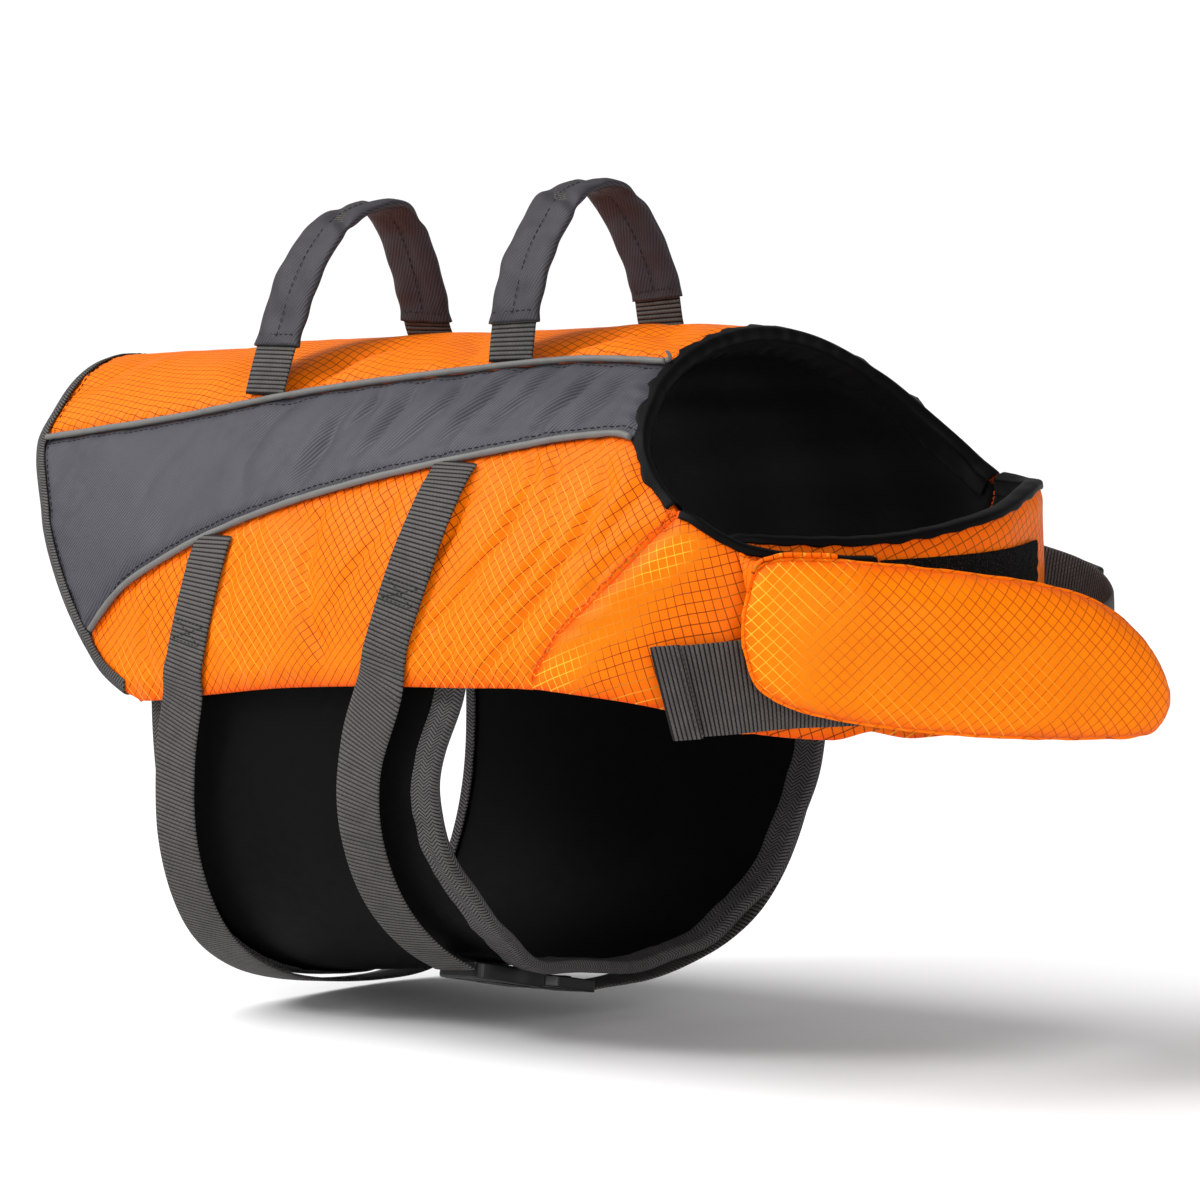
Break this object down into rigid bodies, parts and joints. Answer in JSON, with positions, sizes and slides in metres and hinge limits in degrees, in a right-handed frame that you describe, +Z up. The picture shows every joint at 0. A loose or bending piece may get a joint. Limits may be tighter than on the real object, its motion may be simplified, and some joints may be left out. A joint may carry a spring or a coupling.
{
  "type": "dog life jacket",
  "caption": "Padded buoyancy jacket for a dog: saddle with chest wings and chin float, belly panel, grab handles, webbing straps with buckles.",
  "frame": {"origin": "the point on the saddle lining where the wearer's back carries the jacket, half way along the back", "axes": "+X forward along the back to the neck, +Y to the dog's left, +Z up"},
  "size_m": [0.5869, 0.2954, 0.3781],
  "materials": {
    "orange_ripstop": "coated ripstop nylon, orange with a diagonal grid",
    "grey_oxford": "coated oxford nylon, grey",
    "reflective_piping": "matte silver-grey reflective piping",
    "grey_webbing": "woven polypropylene webbing, dark grey",
    "grey_binding": "herringbone binding tape, dark grey",
    "black_lining": "black nylon lining",
    "black_neoprene": "black neoprene sheet, smooth",
    "hook_and_loop": "black hook-and-loop pile",
    "black_acetal": "moulded black acetal"
  },
  "bodies": {
    "root": {"back_panel": "orange_ripstop", "side_band_right": "grey_oxford", "side_panel_right": "orange_ripstop", "piping_top_right": "reflective_piping", "piping_low_right": "reflective_piping", "chest_wing_right": "orange_ripstop", "wing_lining_right": "black_lining", "wing_facing_right": "black_lining", "side_band_left": "grey_oxford", "side_panel_left": "orange_ripstop", "piping_top_left": "reflective_piping", "piping_low_left": "reflective_piping", "chest_wing_left": "orange_ripstop", "wing_lining_left": "black_lining", "wing_facing_left": "black_lining", "saddle_lining": "black_lining", "tail_tape": "grey_binding", "neck_facing": "black_lining", "belly_panel": "black_neoprene", "belly_tape_front": "grey_binding", "belly_tape_rear": "grey_binding", "handle_webbing_rear": "grey_webbing", "handle_sleeve_rear": "grey_oxford", "handle_webbing_front": "grey_webbing", "handle_sleeve_front": "grey_oxford", "belly_strap_rear_right": "grey_webbing", "belly_strap_rear_left": "grey_webbing", "buckle_socket_rear": "black_acetal", "buckle_plug_rear": "black_acetal", "belly_strap_front_right": "grey_webbing", "belly_strap_front_left": "grey_webbing", "buckle_socket_front": "black_acetal", "buckle_plug_front": "black_acetal", "chest_strap": "grey_webbing", "chest_strap_hem": "grey_webbing", "chest_buckle_socket": "black_acetal", "chest_buckle_plug": "black_acetal", "chin_float": "orange_ripstop", "float_hinge": "orange_ripstop", "hook_patch": "hook_and_loop"}
  },
  "joints": []
}
